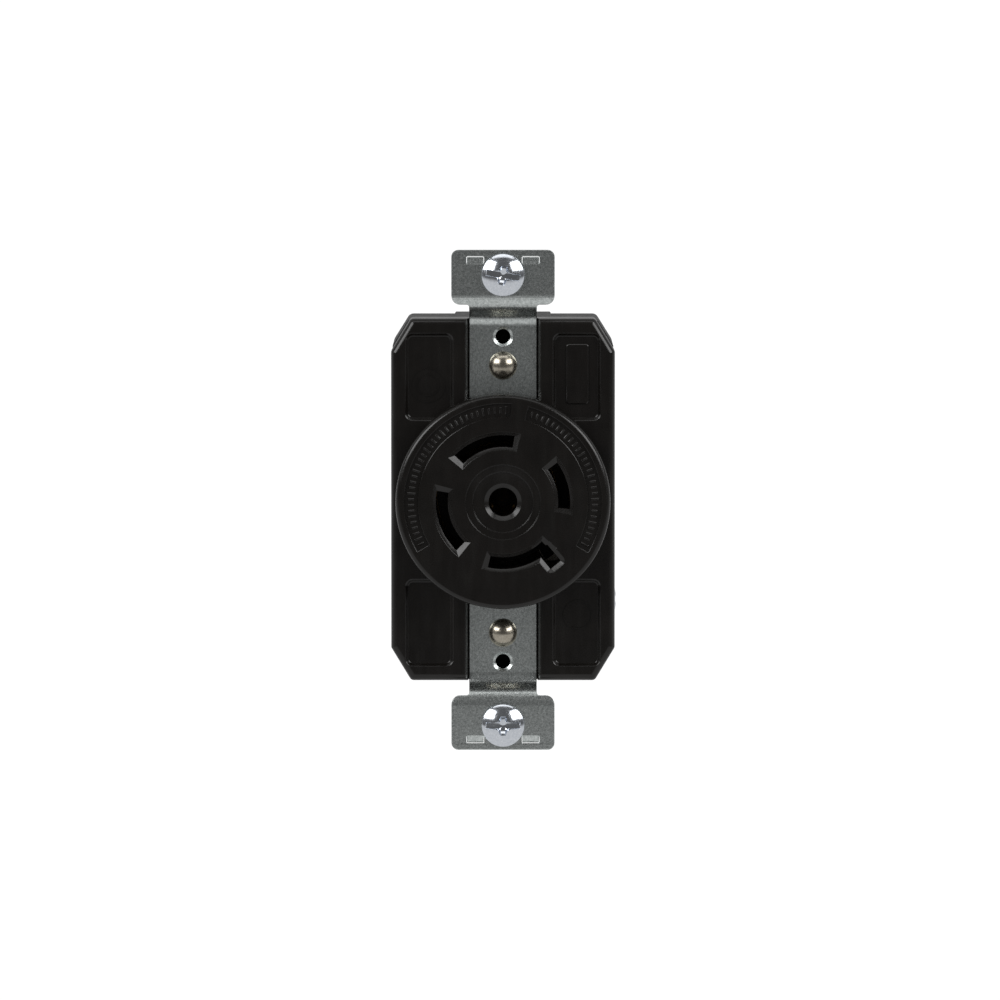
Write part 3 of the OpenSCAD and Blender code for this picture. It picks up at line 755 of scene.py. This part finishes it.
def bent(p):
    """Moves a point of the flat strap to its place on the bent one: x, distance along, height."""
    way = 1 if p.y >= 0 else -1
    along = abs(p.y) - BEND_FOOT
    flat_back = -STRAP_BACK + STRAP_T / 2
    if along <= 0:
        return Vector((p.x, p.y, flat_back + p.z))
    if along <= BEND_ARC:
        a = along / MID_R
        up = BEND_FOOT + (MID_R - p.z) * math.sin(a)
        out = flat_back + MID_R - (MID_R - p.z) * math.cos(a)
    elif along <= BEND_ARC + BEND_SLOPE:
        a = BEND_ANGLE
        run = along - BEND_ARC
        up = BEND_FOOT + (MID_R - p.z) * math.sin(a) + run * math.cos(a)
        out = flat_back + MID_R - (MID_R - p.z) * math.cos(a) + run * math.sin(a)
    elif along <= BEND_RUN:
        a = (BEND_RUN - along) / MID_R
        up = BEND_TOP - (MID_R + p.z) * math.sin(a)
        out = STRAP_T / 2 - MID_R + (MID_R + p.z) * math.cos(a)
    else:
        up = BEND_TOP + along - BEND_RUN
        out = STRAP_T / 2 + p.z
    return Vector((p.x, way * up, out))


def strap_outline():
    """Outline of the flat strap: ear, neck, ring, neck, ear."""
    top = STRAP_TOP + STRETCH
    foot = EAR_FOOT + BEND_RUN - (BEND_TOP - BEND_FOOT) + 0.11
    meet = math.sqrt(RING_OUT ** 2 - NECK ** 2)
    start = math.atan2(meet, NECK)
    corners = [(NECK, meet), (NECK, foot), (EAR_HALF, foot), (EAR_HALF, top)]
    radii = [0, 0.5, 2.0, 1.3]
    quarter = [(p.x, p.y) for p in fillet_path(corners + [(0, top)], radii + [0], 6, closed=False)][:-1]
    steps = 40
    side = [
        (RING_OUT * math.cos(a), RING_OUT * math.sin(a))
        for a in (-start + 2 * start * k / steps for k in range(1, steps))
    ]
    right = [(x, -y) for x, y in reversed(quarter)] + side + quarter
    return right + [(-x, -y) for x, y in right]


def build_strap():
    top_hole = SCREW_Z + STRETCH
    holes = [circle(0, 0, RING_IN, 96)]
    for way in (1, -1):
        holes.append(circle(0, way * top_hole, EAR_HOLE_R, 40))
        holes.append(circle(0, way * RIVET_Z, RIVET_HOLE_R, 32))
        for side in (1, -1):
            x0, x1, y0, y1 = WINDOW
            low = y0 + TAB_ROOT + STRETCH
            corners = rectangle(side * x0, side * x1, way * low, way * (y1 + STRETCH))
            hole = [(p.x, p.y) for p in fillet_path(corners, 0.25, 3)]
            holes.append(hole if side * way > 0 else hole[::-1])
    holes = [hole[::-1] for hole in holes]
    levels = []
    for way in (1, -1):
        for k in range(BEND_STEPS + 1):
            levels.append(way * (BEND_FOOT + BEND_ARC * k / BEND_STEPS))
            levels.append(way * (BEND_FOOT + BEND_RUN - BEND_ARC * k / BEND_STEPS))
    bm = plate("strap", strap_outline(), holes, STRAP_T, SHEET_EDGE, levels)
    for vert in bm.verts:
        vert.co = FRONT @ bent(vert.co)
    strap = add_object("mounting_strap_sheet", bm)
    for way in (1, -1):
        thread = tapped_hole_profile()
        cut(strap, lathe(thread, FRONT @ Matrix.Translation((0, way * PLATE_HOLE_Z, 0)), 48))
        for side in (1, -1):
            join(strap, window_tab(side, way))
    stand_for(smooth(strap, 28), "mounting_strap")


def tapped_hole_profile():
    """Cutter for a tapped hole: a countersink over thread grooves."""
    front = -SHOULDER_T
    back = -STRAP_BACK
    profile = [(0, back - 0.5), (1.5, back - 0.5), (1.5, back), (TAP_R, back + 0.15)]
    for z in (back + 0.3, back + 0.3 + 0.4):
        profile += [(TAP_R, z), (TAP_ROOT_R, z + 0.1), (TAP_ROOT_R, z + 0.16), (TAP_R, z + 0.26)]
    profile += [(1.4, front - 0.34), (1.86, front), (1.9, front + 0.4), (0, front + 0.4)]
    return profile


def window_tab(side, way):
    """The lug lanced out of an ear and bent back."""
    x0, x1, y0, y1 = WINDOW
    place_m = Matrix.Translation((x0 + 0.1, y0 + TAB_ROOT - SHEET_EDGE, STRAP_T))
    turn = Matrix.Rotation(math.radians(-TAB_TILT), 4, "X")
    outline = (0, x1 - x0 - 0.2, -0.12, y1 - y0 - TAB_ROOT + SHEET_EDGE)
    levels = [(-0.12, -STRAP_T), (0, -STRAP_T + 0.12), (0, -0.12), (-0.12, 0)]
    mirror = Matrix.Diagonal((side, way, 1, 1))
    return loft(slab_loops(outline, levels, 0.15, 2), FRONT @ mirror @ place_m @ turn)


# ---- Fasteners ----

PITCH = 0.794
MOUNT_HEAD = (3.95, 2.2, 0.9, 1.1)
TERMINAL_HEAD = (4.0, 2.6, 1.4, 1.3)
MOUNT_SHANK_R = 1.75
MOUNT_NECK_R = 1.36
TERMINAL_SHANK_R = 2.05
TERMINAL_SHANK = 6.5
GROUND_SHANK = 5.2


def dome_profile(r, h, rim, steps=14, edge=0.18):
    """Half section of a domed head from its axis outwards and down to its rounded lower edge."""
    crown = h - rim
    dome_r = (r * r + crown * crown) / (2 * crown)
    tilt = math.asin(r / dome_r)
    points = []
    for k in range(steps + 1):
        a = tilt * k / steps
        points.append((dome_r * math.sin(a), h - dome_r + dome_r * math.cos(a)))
    corner = [points[-2], (r, rim), (r, 0), (r - 1, 0)]
    rounded = fillet_path(corner, [0, edge, edge * 0.8, 0], 4, closed=False)
    return points[:-2] + [(p.x, p.y) for p in rounded]


def thread_body(matrix, z0, z1, r, lead, segments=40, depth=0.42):
    """A threaded shank from z0 up to z1: a helical height field on a cylinder."""
    steps = round((z1 - z0) / PITCH * 8)
    loops = []
    for k in range(steps + 1):
        z = z0 + (z1 - z0) * k / steps
        limit = r - 0.6 * max(0.0, 1 - (z - z0) / lead)
        loop = []
        for i in range(segments):
            turn = i / segments
            phase = (z / PITCH - turn) % 1
            height = min(1.0, max(0.0, 3.2 * abs(phase - 0.5) - 0.3))
            radius = min(limit, r - depth + depth * height)
            angle = 2 * math.pi * turn
            loop.append((radius * math.cos(angle), radius * math.sin(angle), z))
        loops.append(loop)
    return loft(loops, matrix)


def cross_loops(half, arm, top, depth):
    """Loops of a Phillips recess: a cross that narrows towards its bottom."""
    loops = []
    for share, sunk in ((0.08, 1), (0.5, 0.72), (0.8, 0.36), (1.0, 0), (1.15, -0.35)):
        z = top - depth * sunk
        h = half * share
        a = min(arm * (0.5 + 0.5 * share), 0.4 * h)
        waist = min(a * 1.75, 0.7 * h)
        loop = []
        for quarter in range(4):
            turn = Matrix.Rotation(math.radians(90 * quarter), 2)
            for x, y in ((h, -a), (h, a), (waist, waist)):
                p = turn @ Vector((x, y))
                loop.append((p.x, p.y, z))
        loops.append(loop)
    return loops


def head_with_recess(name, matrix, r, h, rim, slot_depth):
    """A domed head with a straight slot and a Phillips cross."""
    head = add_object(name, lathe(dome_profile(r, h, rim) + [(0, 0)], matrix, 72))
    slot = (-0.8 * r, 0.8 * r, -0.6, 0.6)
    levels = [(-0.1, h - slot_depth), (0, h - slot_depth + 0.1), (0, h + 1)]
    cut(head, loft(slab_loops(slot, levels, 0.06, 2), matrix))
    cut(head, loft(cross_loops(1.95, 0.5, h - 0.05, 1.35), matrix))
    return head


def build_mounting_screw(name, way, turn):
    z = way * SCREW_Z
    low, high = node_mm(name)
    base = -low[1] - MOUNT_HEAD[1]
    tip = -high[1]
    spin = Matrix.Rotation(math.radians(turn), 4, "Z")
    matrix = FRONT @ Matrix.Translation((0, z, 0)) @ spin
    screw = head_with_recess(name + "_turned", matrix @ Matrix.Translation((0, 0, base)), *MOUNT_HEAD)
    neck = [(0, base + 0.3), (MOUNT_NECK_R, base + 0.3), (MOUNT_NECK_R, -3.4), (1.2, -3.6), (0, -3.6)]
    join(screw, lathe(neck, matrix, 40))
    join(screw, thread_body(matrix, tip + 0.01, -3.3, MOUNT_SHANK_R, 0.7))
    stand_for(smooth(screw, 35), name)


def build_rivet(name, way):
    high = node_mm(name)[1]
    head = dome_profile(2.6, 1.9, 0.35)
    tail = dome_profile(2.55, 1.0, 0.3)
    front = -SHOULDER_T
    back = -high[1] + 1.0
    profile = [(r, front + z) for r, z in head] + [(1.6, back)]
    profile += [(r, back - z) for r, z in reversed(tail)]
    matrix = FRONT @ Matrix.Translation((0, way * RIVET_Z, 0))
    stand_for(smooth(add_object(name + "_formed", lathe(profile, matrix, 72))), name)


def build_washer(name, way):
    low, high = node_mm(name)
    section = [(1.45, -high[1]), (3.4, -high[1]), (3.4, -low[1]), (1.45, -low[1])]
    profile = fillet_path(section, 0.14, 3)
    matrix = FRONT @ Matrix.Translation((0, way * SCREW_Z, 0))
    obj = add_object(name + "_punched", lathe([(p.x, p.y) for p in profile], matrix, 64, ring=True))
    stand_for(smooth(obj), name)


TERMINALS = {"x": (90, 20), "y": (-90, -35), "z": (-90, 75), "neutral": (90, -10), "ground": (180, 40)}
JOINTS = {joint["name"]: joint for joint in frame["record"]["behaviour"]["joints"]}


def terminal_frame(key):
    """From a terminal's own frame, with z outwards along its screw, to the row frame."""
    joint = JOINTS["screw_turn_" + key]
    axis = Vector(joint["axis"])
    low, high = (Vector(corner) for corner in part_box("terminal_screw_" + key))
    reach = max(low.dot(axis), high.dot(axis))
    point = Vector(joint["pos_m"])
    top = point + axis * (reach - point.dot(axis))
    scale = Matrix.Diagonal((MM, MM, MM, 1))
    turn = Matrix.Rotation(math.radians(TERMINALS[key][0]), 4, "Y")
    return Matrix.Translation(top) @ turn @ scale @ Matrix.Translation((0, 0, -TERMINAL_HEAD[1]))


def build_terminal_screw(key):
    name = "terminal_screw_" + key
    matrix = terminal_frame(key) @ Matrix.Rotation(math.radians(TERMINALS[key][1]), 4, "Z")
    length = GROUND_SHANK if key == "ground" else TERMINAL_SHANK
    screw = head_with_recess(name + "_turned", matrix, *TERMINAL_HEAD)
    join(screw, thread_body(matrix, -length, 0.3, TERMINAL_SHANK_R, 0.5, 36))
    stand_for(smooth(screw, 35), name)


def build_clamp(key):
    """A square saddle with rounded edges, under the head of its screw."""
    name = "wire_clamp_" + key
    matrix = terminal_frame(key) @ Matrix.Translation((0, 0, -0.65))
    corners = [(p.x, p.y) for p in fillet_path(rectangle(-4, 4, -4.3, 4.3), 0.8, 4)]
    bm = plate("clamp", corners, [circle(0, 0, 2.3, 40)[::-1]], 1.3, 0.18)
    bmesh.ops.transform(bm, matrix=matrix, verts=bm.verts)
    clamp = add_object(name + "_saddle", bm)
    stand_for(smooth(clamp), name)


# ---- Back body ----

BODY_HIGH = node_mm("back_body")[1]
BODY_HALF_W = 20.5
BODY_HALF_H = 33.1
BODY_FRONT = 8.05
BODY_BACK = BODY_HIGH[1]
END_RIB = 9.0
RIB_H = BODY_HIGH[2] - BODY_HALF_H
TERMINAL_Y = 20.0
TAB_FACE = 14.1
GROUND_TAB_FACE = 28.8
BAY = (-4.4, 4.4, -5.5, 6.0)
ROOM_BACK = -18.4


def body_loop(inset, y):
    return octagon_loop(inset, -y, BODY_HALF_W, BODY_HALF_H, 3.0, 4.8, 1.2)


def mouth_cutter(outline, depth, radius, matrix, flare=0.35):
    """Cutter for a hole whose mouth at z = 0 is rounded: it goes down to -depth."""
    levels = [(0, -depth), (0, -flare)]
    for k in range(1, 4):
        a = math.pi / 2 * k / 3
        levels.append((flare * (1 - math.cos(a)), -flare * (1 - math.sin(a))))
    levels.append((flare, 1))
    return loft(slab_loops(outline, levels, radius, 3), matrix)


def body_shell():
    levels = [(0.35, BODY_FRONT), (0, BODY_FRONT + 0.35), (0, BODY_BACK - 0.9)]
    for k in range(1, 5):
        a = math.pi / 2 * k / 4
        levels.append((0.9 * (1 - math.cos(a)), BODY_BACK - 0.9 * (1 - math.sin(a))))
    shell = add_object("back_body_moulding", loft([body_loop(inset, y) for inset, y in levels], FRONT))
    spigot = [octagon_loop(WALL + 0.2, -y) for y in (SHOULDER_T + 0.05, BODY_FRONT + 1)]
    join(shell, loft(spigot, FRONT))
    for way in (1, -1):
        y = sorted((way * (BODY_HALF_H - 2), way * (BODY_HALF_H + RIB_H)))
        rib = slab_loops((-END_RIB, END_RIB, -BODY_BACK + 0.5, -BODY_FRONT - 0.35),
                         [(0, 0), (0, 2 + RIB_H - 0.2), (-0.2, 2 + RIB_H)], 0.4, 3)
        lift = Matrix(((1, 0, 0, 0), (0, 0, way, way * (BODY_HALF_H - 2)), (0, 1, 0, 0), (0, 0, 0, 1)))
        join(shell, loft(rib, FRONT @ lift))
    return shell


def tab_frame(key):
    """At the outer face of a contact's tab in millimetres, with z outwards and x across the terminal."""
    contact = {"neutral": "contact_neutral", "ground": "contact_ground"}.get(key, "contact_line_" + key)
    joint = JOINTS["screw_turn_" + key]
    axis = Vector(joint["axis"])
    low, high = (Vector(corner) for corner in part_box(contact))
    reach = max(low.dot(axis), high.dot(axis))
    point = Vector(joint["pos_m"])
    face = point + axis * (reach - point.dot(axis))
    turn = Matrix.Rotation(math.radians(TERMINALS[key][0]), 4, "Y")
    return Matrix.Translation(face) @ turn @ Matrix.Diagonal((MM, MM, MM, 1))


def box_at(matrix, x, y, z):
    """A closed box by its limits in the frame that matrix gives."""
    corners = rectangle(x[0], x[1], y[0], y[1])
    return loft([[(a, b, level) for a, b in corners] for level in z], matrix)


def cylinder_at(matrix, r, z0, z1, segments=40):
    return lathe([(0, z0), (r, z0), (r, z1), (0, z1)], matrix, segments)


def terminal_cutters(key):
    """The bay of one terminal, the slot for the contact's tab, and the hole for the wire."""
    frame_m = tab_frame(key)
    ground = key == "ground"
    wall = BODY_HALF_H - GROUND_TAB_FACE if ground else BODY_HALF_W - TAB_FACE
    mouth = frame_m @ Matrix.Translation((0, 0, wall))
    shank = GROUND_SHANK if ground else TERMINAL_SHANK
    size = 4.6 if ground else 5.0
    shift = 0.7 + (0 if ground else 0.8)
    back = frame_m @ Matrix.Translation((0, BODY_BACK - TERMINAL_Y, shift))
    upright = Matrix(((1, 0, 0, 0), (0, 0, 1, 0), (0, 1, 0, 0), (0, 0, 0, 1)))
    half = size / 2
    return [
        mouth_cutter(BAY, wall + 1.7, 0.35, mouth),
        cylinder_at(frame_m, 2.3, 1.2 - shank, 0.2, 32),
        box_at(frame_m, (-3.8, 3.8), (SHOULDER_T - TERMINAL_Y, -5.0), (-1.7, 0.5)),
        mouth_cutter((-half, half, -half, half), BODY_BACK - 25, 0.3, back @ upright),
    ]


def contact_cutters():
    """Room in the body for the contacts, the strap and the two kinds of bore."""
    front = -SHOULDER_T + 1
    out = []
    for a0, a1 in SLOT_ANGLES:
        out.append(loft([arc_loop((a0 - 6, a1 + 6), 8.7, 14.2, 0, 0, z) for z in (-18.2, front)], FRONT))
    out.append(cylinder_at(FRONT, 3.9, -22.1, front))
    out.append(box_at(FRONT, (0, 6.2), (-2.8, 2.8), (-22.1, front)))
    out.append(box_at(FRONT, (2.6, 6.2), (-29.1, 0), (-22.1, front)))
    out.append(box_at(FRONT, (2.6, 16.5), (-29.3, -27.1), (-26, front)))
    for side, way in ((1, 1), (-1, -1), (-1, 1), (1, -1)):
        x, y = (9.7, 3.7) if side == way else (10.2, 8.7)
        mirror = Matrix.Diagonal((side, way, 1, 1))
        out.append(box_at(FRONT @ mirror, (x, 14.6), (y, 23.8), (ROOM_BACK, front)))
    for side in (1, -1):
        mirror = Matrix.Diagonal((side, -side, 1, 1))
        out.append(box_at(FRONT @ mirror, (5.9, 14.1), (8.7, 12.8), (ROOM_BACK, front)))
    inner, outer = RING_IN - 0.3, RING_OUT + 0.3
    ring = [(inner, -STRAP_BACK), (outer, -STRAP_BACK), (outer, front), (inner, front)]
    out.append(lathe(ring, FRONT, 96, ring=True))
    for way in (1, -1):
        mirror = Matrix.Diagonal((1, way, 1, 1))
        neck = (-NECK - 0.3, NECK + 0.3)
        out.append(box_at(FRONT @ mirror, neck, (17, BODY_HALF_H + 3), (-STRAP_BACK, front)))
        hole = FRONT @ Matrix.Translation((0, way * PLATE_HOLE_Z, 0))
        out.append(cylinder_at(hole, 2.2, -15.3, front))
        rivet = FRONT @ Matrix.Translation((0, way * RIVET_Z, 0))
        back = -BODY_BACK
        seat = [(0, front), (0, back - 1), (3.5, back - 1), (3.5, back), (3.28, back + 0.08)]
        seat += [(3.2, back + 0.3), (3.2, back + 1.2), (1.7, back + 1.2), (1.7, front)]
        out.append(lathe(seat, rivet, 48))
    return out


def build_body():
    body = body_shell()
    for bm in contact_cutters():
        cut(body, bm)
    for key in TERMINALS:
        for bm in terminal_cutters(key):
            cut(body, bm)
    back = Matrix(((MM, 0, 0, 0), (0, 0, MM, BODY_BACK * MM), (0, MM, 0, 0), (0, 0, 0, 1)))
    cut(body, mouth_cutter((-10.5, 10.5, -16, 16), 0.5, 1.4, back, 0.2))
    # Dark plastic walls in front of the contacts, deep in each slot and in the key: painted shade,
    # standing in for the shadow at the bottom of the narrow slots
    for a0, a1 in SLOT_ANGLES:
        shade_wall = [arc_loop((a0 - 7.5, a1 + 7.5), 10.2, 12.3, 0, 0, z) for z in (-16.3, -14)]
        join(body, loft(shade_wall, FRONT))
    key_shade_wall = [arc_loop((303.5, 322), 10.4, 14.5, 0, 0, z) for z in (-16.2, -14.1)]
    join(body, loft(key_shade_wall, FRONT))
    stand_for(smooth(body), "back_body")


# ---- Carried-over CAD nodes ----

def soften(obj, width):
    """Small rounded edges on a CAD node, by modifiers alone."""
    weld = obj.modifiers.new("weld", "WELD")
    weld.merge_threshold = 1e-6
    bevel = obj.modifiers.new("edges", "BEVEL")
    bevel.width = width * MM
    bevel.segments = 2
    bevel.limit_method = "ANGLE"
    bevel.angle_limit = math.radians(40)
    bevel.use_clamp_overlap = True
    normals = obj.modifiers.new("even_normals", "WEIGHTED_NORMAL")
    normals.keep_sharp = True


def dress(name, bevel=0.0):
    """A CAD node that keeps its shape gets its material."""
    obj = NODES[name]
    obj.data.materials.clear()
    obj.data.materials.append(MATERIALS[SLOTS[name]])
    if bevel:
        soften(obj, bevel)


add_camera()
add_softbox("key_left", (-1.2, -0.95, 0.85), (1.2, 0.8), 15)
add_softbox("key_right", (1.2, -0.95, 0.8), (1.2, 0.8), 14)
add_softbox("overhead", (0, -0.5, 1.3), (1.6, 0.45), 2.6)
add_world()
add_floor()
build_cover()
build_strap()
build_body()
for way, place_name in ((1, "upper"), (-1, "lower")):
    build_rivet("assembly_rivet_" + place_name, way)
    build_mounting_screw("mounting_screw_" + place_name, way, -9.5 if way > 0 else 0)
    build_washer("retainer_washer_" + place_name, way)
for key in TERMINALS:
    build_terminal_screw(key)
    build_clamp(key)
for name in NODES:
    if name.startswith(("contact", "ground")):
        dress(name, 0.1)
